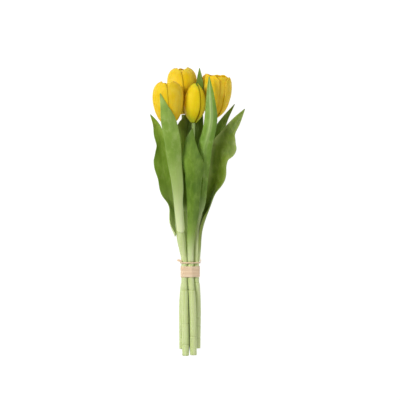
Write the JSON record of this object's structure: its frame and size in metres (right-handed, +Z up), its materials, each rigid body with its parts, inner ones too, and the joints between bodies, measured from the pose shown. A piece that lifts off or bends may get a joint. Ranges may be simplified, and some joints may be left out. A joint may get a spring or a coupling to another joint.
{
  "type": "bunch of tulips",
  "caption": "Bunch of yellow cut tulips with long green leaves, tied round the stems with a wound natural raffia band, lying on its back.",
  "frame": {"origin": "on the surface that the bunch lies on, below the middle of its bounding box", "axes": "+Y along the bunch towards the flowers, +X towards the open flower with the broad outer leaf, +Z up from the surface through the bunch"},
  "size_m": [0.1411, 0.4298, 0.088],
  "materials": {
    "petal": "satin",
    "bud_petal": "satin",
    "leaf": "satin",
    "stem": "satin",
    "pistil": "matte",
    "raffia": "matte"
  },
  "bodies": {
    "root": {"leaf_back_inner": "leaf", "leaf_bud_back": "leaf", "leaf_bud_front": "leaf", "leaf_left_front": "leaf", "leaf_left_outer": "leaf", "leaf_right_back": "leaf", "leaf_right_front": "leaf", "leaf_right_outer": "leaf", "petal_back_inner_1": "petal", "petal_back_inner_2": "petal", "petal_back_inner_3": "petal", "petal_back_outer_1": "petal", "petal_back_outer_2": "petal", "petal_back_outer_3": "petal", "petal_bud_inner_1": "bud_petal", "petal_bud_inner_2": "bud_petal", "petal_bud_inner_3": "bud_petal", "petal_bud_outer_1": "bud_petal", "petal_bud_outer_2": "bud_petal", "petal_bud_outer_3": "bud_petal", "petal_left_inner_1": "petal", "petal_left_inner_2": "petal", "petal_left_inner_3": "petal", "petal_left_outer_1": "petal", "petal_left_outer_2": "petal", "petal_left_outer_3": "petal", "petal_right_inner_1": "petal", "petal_right_inner_2": "petal", "petal_right_inner_3": "petal", "petal_right_outer_1": "petal", "petal_right_outer_2": "petal", "petal_right_outer_3": "petal", "pistil_back": "pistil", "pistil_bud": "pistil", "pistil_left": "pistil", "pistil_right": "pistil", "raffia_band": "raffia", "raffia_knot": "raffia", "raffia_strand": "raffia", "raffia_tail": "raffia", "stem_back": "stem", "stem_bud": "stem", "stem_left": "stem", "stem_right": "stem"}
  },
  "joints": []
}
